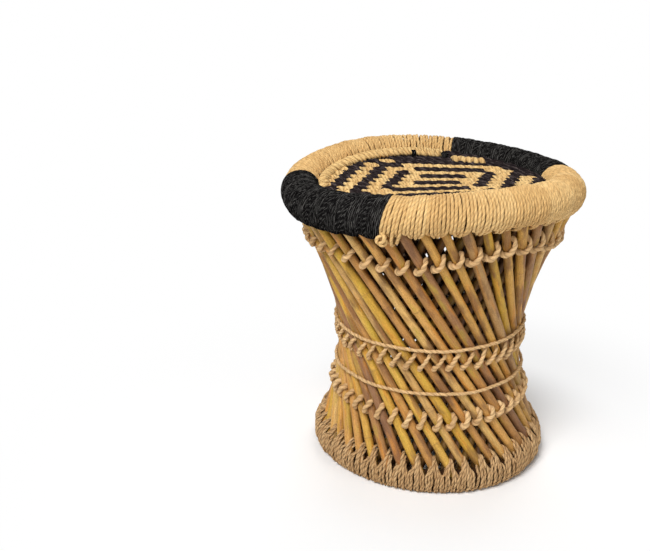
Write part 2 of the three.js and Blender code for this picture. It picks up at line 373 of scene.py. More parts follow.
# A smooth path through chosen points
def smoothPath(points, steps, closed=False):
    count = len(points)
    if closed:
        padded = [points[-1], *points, points[0], points[1]]
    else:
        padded = [2 * points[0] - points[1], *points, 2 * points[-1] - points[-2]]
    path = []
    for i in range(count if closed else count - 1):
        a, b, c, d = padded[i:i + 4]
        for step in range(steps):
            t = step / steps
            bend = 2 * b + (c - a) * t + (2 * a - 5 * b + 4 * c - d) * t * t
            path.append((bend + (3 * b - a - 3 * c + d) * t ** 3) / 2)
    if not closed:
        path.append(points[-1].copy())
    return path


def eased(value, low, high):
    share = min(max((value - low) / (high - low), 0), 1)
    return share * share * (3 - 2 * share)


def hill(value, middle, spread):  # 1 at the middle, nearly 0 at twice the spread from it
    return exp(-((value - middle) / spread) ** 2)


def hills(angle, rows):  # a sum of hills round a ring. Rows: how much, where, how far to each side
    total = 0
    for by, middle, spread in rows:
        away = (angle - middle + pi) % (2 * pi) - pi
        total += by * hill(away, 0, spread)
    return total


def polar(radius, angle, z):
    return Vector((radius * cos(angle), radius * sin(angle), z))


def outward(point):  # from the stool's axis
    return Vector((point.x, point.y, 0)).normalized()


# The rings and the canes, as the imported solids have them
def ringOf(coreName):
    corners = [vertex.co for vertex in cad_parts[coreName].data.vertices]
    reaches = [hypot(corner.x, corner.y) for corner in corners]
    heights = [corner.z for corner in corners]
    return {"radius": (max(reaches) + min(reaches)) / 2, "middle": (max(heights) + min(heights)) / 2}


def levelOf(name):  # the height of a solid's middle
    low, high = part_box(name)
    return (low.z + high.z) / 2


seatRing = ringOf("seat_ring_core")
seatRing["section"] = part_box("seat_binding_natural_back")[1].z - seatRing["middle"]
footRing = ringOf("foot_ring_core")
footRing["section"] = footRing["middle"]
bindingRadius = 1.9 * mm
topHeight = seatRing["middle"] - seatRing["section"] + bindingRadius  # where solid canes meet the rings
footHeight = footRing["middle"] + footRing["section"] - bindingRadius
seatInside = seatRing["radius"] - seatRing["section"]

# The seat ring isn't quite round or level, and the canes' tops follow it
rim = {
    "aside": Vector((-5.05, 1.74, 0)) * mm,
    "wideCos": 1.94 * mm, "wideSin": 4.74 * mm,  # of the radius, twice round
    "riseCos": -4.83 * mm, "riseSin": -4.06 * mm,  # of the height, twice round
    "coreRadius": 16.5,
    "thicker": 0.5 * mm,  # at the back, and at the right
    "canesRight": 5 * mm,  # how much further out the canes meet it at the right
}


def rimFrame(angle):  # a point of the seat ring's middle line, and the way out
    double = 2 * angle
    out = Vector((cos(angle), sin(angle), 0))
    reach = seatRing["radius"] + rim["wideCos"] * cos(double) + rim["wideSin"] * sin(double)
    rise = rim["riseCos"] * cos(double) + rim["riseSin"] * sin(double)
    return rim["aside"] + out * reach + upward * (seatRing["middle"] + rise), out


caneNames = sorted(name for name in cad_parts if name.startswith("cane_"))
pitch = 2 * pi / len(caneNames)


def caneEnds(name):
    corners = {tuple(round(c, 6) for c in vertex.co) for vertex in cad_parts[name].data.vertices}
    middle = levelOf(name)
    ends = []
    for above in (False, True):
        end = [Vector(corner) for corner in corners if (corner[2] > middle) == above]
        ends.append(sum(end, Vector()) / len(end))
    return ends


def layerOf(low, high):  # where a straight cane crosses the two heights, as radii and angles
    slope = (high - low) / (high.z - low.z)
    top = low + slope * (topHeight - low.z)
    foot = low + slope * (footHeight - low.z)
    start = atan2(top.y, top.x)
    return {
        "top": hypot(top.x, top.y),
        "foot": hypot(foot.x, foot.y),
        "start": start,
        "twist": (atan2(foot.y, foot.x) - start) % (2 * pi),
    }


layerSpacing = 10.7 * mm
outerLayer = layerOf(*caneEnds(caneNames[0]))
innerLayer = {
    "top": outerLayer["top"] - layerSpacing,
    "foot": outerLayer["foot"] - layerSpacing,
    "start": outerLayer["start"],
    "twist": outerLayer["twist"] - ceil(2 * outerLayer["twist"] / pitch) * pitch,
}


def caneAt(layer, number, height):
    start = layer["start"] + number * pitch
    middle, out = rimFrame(start)
    top = middle + out * (layer["top"] - seatRing["radius"] + rim["canesRight"] * max(cos(start), 0))
    top.z = topHeight
    foot = polar(layer["foot"], start + layer["twist"], footHeight)
    return top.lerp(foot, (topHeight - height) / (topHeight - footHeight))


def caneFrame(layer, number, height):  # a point, the ways up the cane, out of its layer and to the next cane
    point = caneAt(layer, number, height)
    along = (caneAt(layer, number, topHeight) - caneAt(layer, number, footHeight)).normalized()
    out = Vector((-point.y, point.x, 0)).cross(along).normalized()
    return point, along, out, along.cross(out)


print("frame and finishes ready")

# Camera, at the photograph's angle
camera = {
    "place": (-0.1342, -1.0703, 0.6129),
    "down": 0.3468,  # radians under the horizon
    "lens": 50.41,
}
lens = bpy.data.cameras.new("camera")
lens.lens = camera["lens"]
eye = bpy.data.objects.new("camera", lens)
eye.location = camera["place"]
eye.rotation_euler = (pi / 2 - camera["down"], 0, 0)
bpy.context.scene.collection.objects.link(eye)
bpy.context.scene.camera = eye

# Canes
canes = {
    "radius": 5.3 * mm,
    "spread": 0.55 * mm,  # how much thicker or thinner one is
    "innerRadius": 5.2 * mm,
    "sides": 14,
    "innerSides": 10,
    "bend": 0.9 * mm,
    "taper": 0.06, "uneven": 0.03,  # of the radius
    "nodes": 4, "nodeSpacing": 210 * mm,
    "nodeSwell": 0.1,
    "nodeHalf": 4.4 * mm, "nodeMark": 1.3 * mm,  # how far its swelling and its dark mark reach each way
    "nodeCuts": (-4.5, -1.2, 0, 1.2, 4.5),  # mm
    "endClear": 6 * mm,  # without nodes, at the ends
    "cutClear": 7 * mm,  # without other cuts, beside a node
    "intoSeatRing": 11 * mm,  # their ends, under the middle of the seat ring
    "intoFootRing": 6 * mm,  # and over the middle of the foot ring
    "step": 24 * mm,
}


def caneMesh(length, radius, sides):
    solid = bmesh.new()
    bmesh.ops.create_cone(
        solid, cap_ends=True, segments=sides, radius1=radius, radius2=radius, depth=length,
        matrix=Matrix.Translation((0, 0, length / 2)))
    firstNode = draw.uniform(0.1, 0.9) * canes["nodeSpacing"]
    nodes = [firstNode + canes["nodeSpacing"] * k * draw.uniform(0.9, 1.1) for k in range(canes["nodes"])]
    nodes = [place for place in nodes if canes["endClear"] < place < length - canes["endClear"]]
    cuts = [canes["step"] * k for k in range(1, int(length / canes["step"]) + 1)]
    cuts = [cut for cut in cuts if all(abs(cut - place) > canes["cutClear"] for place in nodes)]
    cuts += [place + offset * mm for place in nodes for offset in canes["nodeCuts"]]
    for cut in cuts:
        everything = [*solid.verts, *solid.edges, *solid.faces]
        bmesh.ops.bisect_plane(solid, geom=everything, plane_co=(0, 0, cut), plane_no=(0, 0, 1))
    spot = solid.verts.layers.float_vector.new("caneSpot")
    toneLayer = solid.verts.layers.float.new("caneTone")
    nodeLayer = solid.verts.layers.float.new("caneNode")
    tone = draw.random()
    seed = draw.uniform(0, 100)
    leanX = draw.uniform(-1, 1) * canes["bend"]
    leanY = draw.uniform(-1, 1) * canes["bend"]
    taper = draw.uniform(-canes["taper"], canes["taper"])
    for vertex in solid.verts:
        place = vertex.co.z
        share = place / length
        away = min([abs(place - node) for node in nodes] + [length])
        ridge = max(1 - away / canes["nodeHalf"], 0) ** 2
        uneven = canes["uneven"] * wobble(place * 25, seed)
        swell = 1 + canes["nodeSwell"] * ridge + taper * (share - 0.5) + uneven
        vertex[spot] = vertex.co.copy()
        vertex[toneLayer] = tone
        vertex[nodeLayer] = max(1 - away / canes["nodeMark"], 0)
        vertex.co.x = vertex.co.x * swell + leanX * sin(pi * share)
        vertex.co.y = vertex.co.y * swell + leanY * sin(pi * share)
    return solid


def standingCane(name, layer, number, radius, sides):
    low = caneAt(layer, number, footRing["middle"] + canes["intoFootRing"])
    top = rimFrame(outerLayer["start"] + number * pitch)[0].z - canes["intoSeatRing"]
    high = caneAt(layer, number, top)
    solid = caneMesh((high - low).length, radius, sides)
    along = (high - low).normalized()
    turned = Matrix.Translation(low) @ along.to_track_quat("Z", "Y").to_matrix().to_4x4()
    bmesh.ops.transform(solid, matrix=turned, verts=solid.verts)
    mesh = bpy.data.meshes.new(name)
    solid.to_mesh(mesh)
    solid.free()
    return mesh


for number, name in enumerate(caneNames):
    radius = canes["radius"] + draw.uniform(-1, 1) * canes["spread"]
    mesh = standingCane(name + "_dressed", outerLayer, number, radius, canes["sides"])
    dress(finished(name + "_dressed", mesh, outerCane), name)

together = bmesh.new()
for number in range(len(caneNames)):
    one = standingCane("one", innerLayer, number, canes["innerRadius"], canes["innerSides"])
    together.from_mesh(one)
    bpy.data.meshes.remove(one)
layerMesh = bpy.data.meshes.new("inner_canes")
together.to_mesh(layerMesh)
together.free()
dress(finished("inner_canes", layerMesh, shadedInnerCane), "inner_cane_layer")
print("canes standing")


# Places on the rings
def rimPoint(angle, turn, reach):  # turn goes from out, through up, to in
    middle, out = rimFrame(angle)
    return middle + (out * cos(turn) + upward * sin(turn)) * reach


footOval = {"drawnIn": 5 * mm, "drawnAt": -125 * degree}  # where the foot ring lies nearer to the middle


def footReach(angle):
    return footRing["radius"] - footOval["drawnIn"] * max(cos(angle - footOval["drawnAt"]), 0) ** 3


reeds = {"steps": 132, "lay": 1000 * mm, "inFoot": 4.2}  # inFoot is how far inside the foot ring they lie
ringAngles = [2 * pi * k / reeds["steps"] for k in range(reeds["steps"])]
seatCore = cord([rimFrame(angle)[0] for angle in ringAngles], rim["coreRadius"], closed=True)
dressCords("seat_ring_reeds", "seat_ring_core", [seatCore], onePly, reeds["lay"], reedCore)
footMiddle = [polar(footReach(angle), angle, footRing["middle"]) for angle in ringAngles]
footCore = cord(footMiddle, footRing["section"] / mm - reeds["inFoot"], closed=True)
dressCords("foot_ring_reeds", "foot_ring_core", [footCore], onePly, reeds["lay"], reedCore)


# The seat ring's binding. Between two canes its loops crowd together in two layers.
def gapAngle(number):
    point = caneAt(outerLayer, number + 0.5, topHeight) - rim["aside"]
    return atan2(point.y, point.x)


rimBindings = [
    # name, first gap, gaps, black or not
    ("seat_binding_natural_front", 6, 15, False),
    ("seat_binding_black_back", 21, 8, True),
    ("seat_binding_natural_back", 29, 13, False),
    ("seat_binding_black_front", 42, 8, True),
]
naturalWrap = {
    "section": softPly, "finish": naturalCord, "slot": "natural_cord",
    "perGap": 6, "radius": 2.05, "steps": 84, "lay": 15 * mm, "proud": 0.3 * mm, "uneven": 0.6 * mm,
    "stagger": 0.6 * mm,  # inside the ring, where there is less room, every other loop lies deeper
    "droop": 2.2 * mm,  # how much lower the loops hang midway between two canes
}
looseWrap = dict(naturalWrap, perGap=5, radius=2.25, uneven=1.15 * mm, stagger=1.35 * mm)
blackWrap = {
    "section": finePly, "finish": blackCord, "slot": "black_cord",
    "perGap": 12, "radius": 1.45, "steps": 96, "lay": 12 * mm, "proud": 0.9 * mm, "uneven": 0.5 * mm,
    "stagger": 0.6 * mm, "droop": 0.5 * mm,
}
wraps = {
    "tuck": 3 * mm,  # how deep in the core a cord starts and ends
    "crowdFrom": 14, "crowdTo": 52,  # degrees from the bottom, between which the crowding ends
    "closer": 0.5, "deeper": 1.4,  # there, and by half of how many mm every other loop lies deeper
    "insideAt": 0.76, "insideSpread": 0.13,  # of a turn from the bottom
    "thinner": 0.12,  # inside, and where they crowd
    "ripple": 0.5 * mm, "swell": 0.8 * mm,
    "lean": 7 * mm,  # how far black loops lean over the top
    "leanFull": 0.5, "leanNone": 2.5,  # gaps inside and outside the end of a black stretch
}
wrapShift = {"by": 8 * mm, "gap": 29, "spread": 2.2}  # the change of colour at the back lies further right
wrapSlack = {  # loops that hang loose where the front binding starts
    "by": 7 * mm, "gap": 6.0, "spread": 0.75,
    "full": 10, "none": 75,  # degrees from the bottom
}


def blackShare(gap):  # 1 in the black stretches, falling off beside them
    share = 0
    for _, first, count, black in rimBindings:
        if black:
            for turned in (-len(caneNames), 0, len(caneNames)):
                away = abs(gap - (first + count / 2 + turned))
                full = count / 2 - wraps["leanFull"]
                share = max(share, 1 - eased(away, full, count / 2 + wraps["leanNone"]))
    return share


def wrapPoint(gapNumber, share, part, index, wrap):
    turn = -pi / 2 + 2 * pi * part
    fromBottom = min(part, 1 - part) * 360
    gap = gapNumber + share
    width = (gapAngle(gapNumber + 1) - gapAngle(gapNumber - 1)) % (2 * pi) / 2
    crowded = 1 - eased(fromBottom, wraps["crowdFrom"], wraps["crowdTo"])
    inside = hill(part, wraps["insideAt"], wraps["insideSpread"])
    parity = 1 if index % 2 else -1
    lean = wraps["lean"] * blackShare(gap) * (1 - cos(2 * pi * part)) / 2
    lean -= wrapShift["by"] * hill(gap, wrapShift["gap"], wrapShift["spread"])
    angle = gapAngle(gapNumber) + share * width * (1 - wraps["closer"] * crowded) + lean / seatRing["radius"]
    spot = (angle * 50, part * 5)
    angle += wrap["uneven"] * wobble(*spot) / seatRing["radius"]
    section = seatRing["section"] + rim["thicker"] * (cos(angle) + sin(angle))
    reach = section - wrap["radius"] * mm + wrap["proud"]
    reach += wraps["ripple"] * wobble(*spot, 7) + wraps["swell"] * wobble(angle * 9, part * 2)
    reach -= crowded * (wraps["deeper"] * (1 - parity)) * mm
    reach += crowded * wrap["droop"] * (1 - (2 * share) ** 2)
    reach += inside * wrap["stagger"] * parity
    if parity > 0 and gapNumber == round(wrapSlack["gap"]):
        slack = hill(gap, wrapSlack["gap"], wrapSlack["spread"])
        reach += wrapSlack["by"] * slack * (1 - eased(fromBottom, wrapSlack["full"], wrapSlack["none"]))
    radius = wrap["radius"] * (1 - wraps["thinner"] * inside - wraps["thinner"] * crowded)
    return rimPoint(angle, turn, reach), radius


# The knot where the front binding starts: two loops of its cord, one across the other
knot = {
    "angle": -113.5 * degree, "turn": -50 * degree, "proud": 2.5 * mm,
    "radius": 2.2, "across": 4.7 * mm, "high": 7.2 * mm,
    "bulge": 1.2,
    "steps": 20,
    "loops": [(0.35, 0, 1.0), (-0.8, 2.4, 0.72)],  # how far each is swung and lifted, and its size
}


def startKnot():
    centre = rimPoint(knot["angle"], knot["turn"], seatRing["section"] + knot["proud"])
    out = rimFrame(knot["angle"])[1]
    side = upward.cross(out)
    loops = []
    for swing, lift, size in knot["loops"]:
        loop = []
        for step in range(knot["steps"]):
            turn = 2 * pi * step / knot["steps"]
            across = cos(turn) * knot["across"] * size
            high = sin(turn) * knot["high"] * size
            spot = centre + side * (across * cos(swing) - high * sin(swing))
            spot += upward * (across * sin(swing) + high * cos(swing))
            loop.append(spot + out * (lift + knot["bulge"] * sin(2 * turn)) * mm)
        loops.append(cord(loop, knot["radius"], closed=True))
    return loops


for name, first, count, black in rimBindings:
    wrap = blackWrap if black else looseWrap if name.endswith("natural_back") else naturalWrap
    cords = []
    for gap in range(first, first + count):
        points = []
        radii = []
        for step in range(wrap["perGap"] * wrap["steps"] + 1):
            turns = step / wrap["steps"]
            point, radius = wrapPoint(gap, turns / wrap["perGap"] - 0.5, turns % 1, int(turns), wrap)
            points.append(point)
            radii.append(radius)
        end = rimPoint(gapAngle(gap), -pi / 2, rim["coreRadius"] * mm - wraps["tuck"])
        cords.append(cord([end, *points, end], [radii[0], *radii, radii[-1]]))
    if name == "seat_binding_natural_front":
        cords += startKnot()
    dressCords(name + "_dressed", name, cords, wrap["section"], wrap["lay"], wrap["finish"])

# The foot ring's binding: a fan of strands rises to a peak in each gap
foot = {
    "fewest": 5, "most": 6,  # strands in a fan
    "radius": 1.95, "usual": 5.4,  # and the number of strands that this radius is for
    "thickness": (0.93, 1.07),
    "jitter": 0.18,  # of a strand's place in its fan
    "lay": 15 * mm,
    "fill": 1.05,  # of the pitch, that a fan takes at the floor
    "stagger": 0.6,  # how much further out every other strand lies
    "peak": 47 * mm,
    # outline of a loop from the floor, out and up into the gap, and down inside:
    # from the ring's middle line, height, width of the fan
    "outline": [
        (0, 2.1, 1.0), (8.8, 2.8, 1.0), (13.2, 9.5, 1.0), (13.8, 17, 1.0), (12.8, 24.5, 0.98),
        (10.6, 32, 0.82), (7.0, 39, 0.6), (0.6, 44.5, 0.42), (-7, 42, 0.4),
        (-12.4, 30, 0.5), (-13.0, 15, 0.8), (-9, 3.4, 1.0),
    ],
    "riseFrom": 23, "riseTo": 43,  # heights, from under the peak to its top
    "peakDrop": 11, "peakCurve": 1.4,  # how much lower the outer strands peak
    "lower": 2,  # all peaks
    "steps": 4,
    "ragged": 2,  # how much higher or lower one strand peaks
    "wander": 0.009, "fanWander": 0.02,  # radians, of a strand and of a whole fan's lower part
    "ripple": 0.8, "ruffle": 1.1, "ruffled": 0.8,  # in and out
}


def footLoop(gap, share, radius, proud):
    centre = caneAt(outerLayer, gap + 0.5, foot["peak"])
    middle = atan2(centre.y, centre.x)
    ragged = draw.uniform(-1, 1) * foot["ragged"]
    points = []
    for index, (reach, height, spread) in enumerate(foot["outline"]):
        rise = eased(height, foot["riseFrom"], foot["riseTo"])
        drop = foot["peakDrop"] * (2 * abs(share)) ** foot["peakCurve"] + ragged + foot["lower"]
        angle = middle + share * pitch * foot["fill"] * spread
        fanWander = foot["fanWander"] * (1 - rise) * wobble(gap * 2.3, 5)
        angle += foot["wander"] * wobble(gap * 3.7, share * 5, index * 0.8) + fanWander
        ruffle = (foot["ruffled"] - rise) * foot["ruffle"] * wobble(share * 40, gap)
        reach += foot["ripple"] * wobble(gap * 1.3, share * 9, index) + ruffle
        reach += proud * (1 - rise)
        points.append(polar(footReach(angle) + reach * mm, angle, (height - drop * rise) * mm))
    path = smoothPath(points, foot["steps"], closed=True)
    for point in path:
        point.z = max(point.z, radius * mm)
    return cord(path, radius, closed=True)


footCords = []
for gap in range(len(caneNames)):
    strands = draw.randint(foot["fewest"], foot["most"])
    thin = sqrt(foot["usual"] / strands)
    for strand in range(strands):
        share = (strand + 0.5 + draw.uniform(-foot["jitter"], foot["jitter"])) / strands - 0.5
        proud = foot["stagger"] if strand % 2 else -foot["stagger"]
        radius = foot["radius"] * thin * draw.uniform(*foot["thickness"])
        footCords.append(footLoop(gap, share, radius, proud))
dressCords("foot_binding_dressed", "foot_binding", footCords, coarsePly, foot["lay"], footCord)

# Girth cords lie on the outer canes
girths = {
    "radius": 2.25, "lay": 15 * mm, "tone": 0.6,
    "between": 3, "steps": 4,  # points to a gap, and steps to a point
    "tiltAt": 20 * degree,
    "rows": [
        # name, waves of its height, how often, seed, tilt, how much deeper it lies between canes
        ("upper_girth_cord", 0.8 * mm, 2, 0, 0, 1.2 * mm),
        ("lower_girth_cord", 1.6 * mm, 2.2, 3, 1.5 * mm, 0.8 * mm),
    ],
}
for name, wave, often, seed, tilt, sink in girths["rows"]:
    middle = levelOf(name)
    points = []
    total = len(caneNames) * girths["between"]
    for step in range(total):
        number = step / girths["between"]
        angle = step / total * 2 * pi
        level = wave * wobble(angle * often, seed) + tilt * cos(angle - girths["tiltAt"])
        point = caneAt(outerLayer, number, middle + level)
        onCane = 1 - abs(number - round(number)) * 2
        lift = canes["radius"] + girths["radius"] * mm - sink * (1 - onCane)
        points.append(point + outward(point) * lift)
    path = smoothPath(points, girths["steps"], closed=True)
    strand = cord(path, girths["radius"], girths["tone"], closed=True)
    dressCords(name + "_dressed", name, [strand], threePly, girths["lay"], tieCord)

# Ties, one over each outer cane. Points: across to the next cane, along the cane, out of the layer
ties = {
    # shifts, flats and hooks: by how much, about where, how far to each side
    "upper_lashing": {
        "radius": 3.2, "knot": 0.3, "tail": -0.08, "lay": 16 * mm,
        "shifts": [(14 * mm, -58 * degree, 28 * degree), (-6 * mm, -114 * degree, 20 * degree)],
        "flats": [(0.6, -132 * degree, 32 * degree)],  # the ones at the left go up less
        "hooks": [(1, -25 * degree, 50 * degree)],
        "points": [(-8.2, -6.0, -3), (-8.4, -5.4, 1.6),
 (-6.4, -4.2, 5.6), (-2.6, -1.7, 8.6), (2.0, 1.4, 8.9),
                   (5.6, 4.2, 7.0), (7.4, 6.2, 3.2), (7.4, 6.8, -2.5)],
        # at the right they hook up into the groove
        "hooked": [(-9.6, 1.2, -3), (-9.2, -0.8, 1.6), (-6.6, -2.0, 5.6), (-2.4, -1.8, 8.6), (2.4, 0.2, 9.0),
                   (6.0, 3.8, 7.4), (7.8, 8.2, 5.0), (8.2, 12.0, -1.5)],
    },
    "waist_lashing": {
        "radius": 2.65, "knot": 0.52, "tail": -0.08, "lay": 13 * mm,
        "shifts": [], "flats": [], "hooks": [],
        "points": [(-8.6, -8.2, -4), (-9.0, -6.4, 1.6), (-6.4, -4.2, 5.8), (-2, -1.8, 8.1), (2.6, 0.4, 8.3),
                   (6.8, 2.2, 7.0), (10.2, 3.8, 5.8), (12.4, 5.2, 3.8), (13.2, 6.5, -2)],
    },
    "lower_lashing": {
        "radius": 3.25, "knot": 0.34, "tail": 0.16, "lay": 16 * mm,
        "shifts": [(-5 * mm, -90 * degree, 28 * degree)], "flats": [], "hooks": [],
        "points": [(-6.2, -4.4, -3.5), (-6.6, -4.0, 1.6),
 (-5.2, -3.0, 5.9), (-1.9, -1.1, 8.8), (1.6, 1.0, 9.1),
                   (4.6, 3.0, 7.2), (6.2, 4.8, 3.2), (6.0, 5.6, -3)],
    },
}
tying = {
    "higher": 1 * mm, "sizes": (0.9, 1.1), "swing": 0.12, "loose": 0.4,  # how one differs from the next
    "steps": 4,
    "knotAt": 0.2, "tailAt": 0.82, "swellSpread": 0.13,  # shares of a tie's length
}


def tieCords(name, tie):
    cords = []
    middle = levelOf(name)
    for number in range(len(caneNames)):
        point = caneAt(outerLayer, number, middle)
        angle = atan2(point.y, point.x)
        hook = hills(angle, tie["hooks"])
        flat = 1 - hills(angle, tie["flats"])
        level = middle + hills(angle, tie["shifts"]) + draw.uniform(-1, 1) * tying["higher"]
        point, along, out, side = caneFrame(outerLayer, number, level)
        size = draw.uniform(*tying["sizes"])
        swing = draw.uniform(-tying["swing"], tying["swing"])
        path = []
        for straight, hooked in zip(tie["points"], tie.get("hooked", tie["points"])):
            across, up, away = Vector(straight).lerp(Vector(hooked), hook)
            loose = Vector([draw.uniform(-1, 1) for _ in range(3)]) * tying["loose"]
            up = up * flat + swing * across
            spot = side * (across + loose.x) + along * (up + loose.y) + out * (away + loose.z)
            path.append(point + spot * mm)
        path = smoothPath(path, tying["steps"])
        radii = []
        for step in range(len(path)):
            share = step / (len(path) - 1)
            ends = tie["knot"] * hill(share, tying["knotAt"], tying["swellSpread"])
            ends += tie["tail"] * hill(share, tying["tailAt"], tying["swellSpread"])
            radii.append(tie["radius"] * size * (1 + ends))
        cords.append(cord(path, radii))
    return cords


for name, tie in ties.items():
    dressCords(name + "_dressed", name, tieCords(name, tie), twoPly, tie["lay"], tieCord)

# The cord inside the waist
innerCord = {
    "height": 161.5 * mm, "radius": 2.4, "lay": 15 * mm, "tone": 0.4,
    "bite": 1 * mm,  # how deep it lies in the inner canes
    "steps": 132,
}
inset = canes["innerRadius"] + innerCord["radius"] * mm - innerCord["bite"]
points = []
for step in range(innerCord["steps"]):
    point = caneAt(innerLayer, step * len(caneNames) / innerCord["steps"], innerCord["height"])
    points.append(point - outward(point) * inset)
strand = cord(points, innerCord["radius"], innerCord["tone"], closed=True)
dressCords(
    "inner_waist_cord", "inner_cane_layer", [strand], threePly, innerCord["lay"], tieCord)

# The woven seat. Natural cords run from front to back in threes, thick black ones across in twos.
seat = {
    "column": 13 * mm,
    "row": 16.5 * mm,
    "warps": 3,
    "over": 1.7 * mm, "under": -3.4 * mm,  # of a natural cord's middle, at a hump and between humps
    "blackOver": 1.5 * mm, "blackUnder": -4.3 * mm,
    "hump": 0.49,  # of a row, from its middle to where a hump ends
    "humpFlat": 2.4, "humpSteep": 0.7,  # powers that shape it
    "link": 0.55,  # how high a natural cord stays between two humps
    "slant": 0.78, "slantBetween": 0.5,  # sideways along a hump, and how much of that between humps
    "pinch": 0.6, "pinchLate": 2.5,
    "crown": 0.8 * mm,
    "apart": 6.8 * mm,  # between the two black cords of a row
    "warpRadius": 2.2, "warpSwell": 0.28, "warpShrink": 0.12,
    "weftRadius": 3.4, "weftWander": 0.6 * mm, "weftRipple": 0.5 * mm,
    "step": 2.2 * mm, "steps": 75,  # to each side
    "edgeRise": 6.5 * mm,
    "intoRing": 5 * mm, "pastRing": 3.5 * mm,
    "tucked": 4 * mm,  # how far from their ends the cords are down
    "sag": 4 * mm,
    "lean": 0.34,  # sideways for each length back
    "aside": 4.5 * mm,
    "bar": 29 * mm,  # half of the middle bars
    "lozenges": 5, "blackBack": 5.5, "blackRight": 1,  # past the last one, rows from where all is black
    "lay": 20 * mm, "blackLay": 26 * mm,
}
seatReach = seatInside + seat["pastRing"]


def weaveBlack(x, y):  # lozenges one in another, leaning to the right at the back
    beside = x - seat["aside"] - seat["lean"] * y
    across = (abs(beside) - seat["bar"]) / seat["row"]
    level = round(abs(y) / seat["row"])
    if across >= 0:  # fourth powers round the corners
        level = round((level ** 4 + (floor(across) + 2) ** 4) ** 0.25)
    atBack = y > seat["blackBack"] * seat["row"]
    atRight = beside > 0 and y > seat["blackRight"] * seat["row"]
    if level > seat["lozenges"] and (atBack or atRight):
        return True
    return level % 2 == 1


def seatHeight(x, y):
    angle = atan2(y - rim["aside"].y, x - rim["aside"].x)
    share = (Vector((x, y, 0)) - rim["aside"]).length / seatReach
    tilt = (rimFrame(angle)[0].z - seatRing["middle"]) * share ** 2
    return seatRing["middle"] + seat["edgeRise"] - seat["sag"] * (1 - share ** 2) + tilt


def inSeat(x, y):  # how far outside its edge, so less than 0 in the seat
    away = Vector((x, y, 0)) - rim["aside"]
    middle = rimFrame(atan2(away.y, away.x))[0]
    return away.length - ((middle - rim["aside"]).xy.length - seatRing["section"] + seat["intoRing"])


def seatPoint(x, y, lift):
    return Vector((x, y, seatHeight(x, y) + lift))


def stepsAcross(inside):  # where a cord's steps lie inside the ring
    places = [k * seat["step"] for k in range(-seat["steps"], seat["steps"] + 1)]
    return [place for place in places if inside(place) < 0]


# Natural: it rises over each natural row in a slanting hump, drawn in to its column
def warpCord(fixed, crown):
    points = []
    radii = []
    column = round(fixed / seat["column"]) * seat["column"]
    for y in stepsAcross(lambda place: inSeat(fixed, place)):
        rowAt = y / seat["row"]
        nearest = (floor(rowAt), ceil(rowAt))
        rows = [row for row in nearest if not weaveBlack(fixed, row * seat["row"])]
        row = min(rows, key=lambda one: abs(rowAt - one)) if rows else round(rowAt)
        away = min(abs(rowAt - row) / seat["hump"], 1) if rows else 1
        rise = (1 - away ** seat["humpFlat"]) ** seat["humpSteep"]
        if len(rows) == 2:
            rise = max(rise, seat["link"])
        if inSeat(fixed, y) > -seat["tucked"]:
            rise = 0
        x = fixed
        if rows:  # drawn in only beside a natural row, so that no holes open between black ones
            x += (column - fixed) * seat["pinch"] * away ** seat["pinchLate"]
        x -= seat["slant"] * (y - row * seat["row"]) * (1 if away < 1 else seat["slantBetween"])
        lift = seat["under"] + (seat["over"] - seat["under"] + crown * (1 - away)) * rise
        points.append(seatPoint(x, y, lift))
        radii.append(seat["warpRadius"] * (1 + seat["warpSwell"] * rise - seat["warpShrink"] * rise ** 0.5))
    return cord(points, radii)


def weftCord(row, side):  # black: it lies over black cells and under the rest
    points = []
    middle = row * seat["row"] + side * seat["apart"] / 2
    for x in stepsAcross(lambda place: inSeat(place, middle)):
        over = sum(weaveBlack(x + d * seat["step"], row * seat["row"]) for d in (-1, 0, 1)) / 3
        if inSeat(x, middle) > -seat["tucked"]:
            over = 0
        y = middle + seat["weftWander"] * wobble(x * 60, row, side)
        lift = seat["blackUnder"] + (seat["blackOver"] - seat["blackUnder"]) * over
        lift += seat["weftRipple"] * sin(2 * pi * x / seat["column"])
        points.append(seatPoint(x, y, lift))
    return cord(points, seat["weftRadius"])


# A loose rope of natural cords lies along the seat's edge at the back left, with two black bands round it
edge = {
    "from": 73 * degree, "to": 196 * degree,
    "strands": 5, "radius": 2.35,
    "wide": 5 * mm, "wideBack": 7 * mm,  # half its width, and how much more that is at the back
    "narrow": 0.4,  # share of its width at its ends
    "fullFrom": 0.06, "fullTo": 0.94,  # shares of its length
    "high": 3.4 * mm,
    "inward": 5.5 * mm, "inwardBack": 11.5 * mm,
    "over": 2.5 * mm, "tuck": 9 * mm,  # above the seat's edge, and how far its ends go under
    "lay": 34 * mm, "strandLay": 18 * mm, "step": 1.7 * mm,
    "unevenTurn": 0.25, "unevenRise": 0.7,
    "bands": [(97.5 * degree, 2), (75 * degree, 3)],  # where, and how many turns
    "bandRadius": 1.9, "bandPitch": 3.2 * mm, "bandLay": 12 * mm, "bandSteps": 14,
    "bandFrom": 135 * degree, "bandTo": 235 * degree,  # they show down its inner side
    "bandOver": 1.15, "bandUnder": -0.6,  # of a strand's radius, along a band and at its ends
}


def ropeFrame(angle, ends=1):
    middle, out = rimFrame(angle)
    back = max(sin(angle), 0) ** 2
    inward = edge["inward"] + edge["inwardBack"] * back
    rise = seat["edgeRise"] + edge["over"] - edge["tuck"] * (1 - ends)
    centre = middle - out * (seatRing["section"] + inward * ends) + upward * rise
    wide = (edge["wide"] + edge["wideBack"] * back) * (edge["narrow"] + (1 - edge["narrow"]) * ends)
    return centre, out, wide


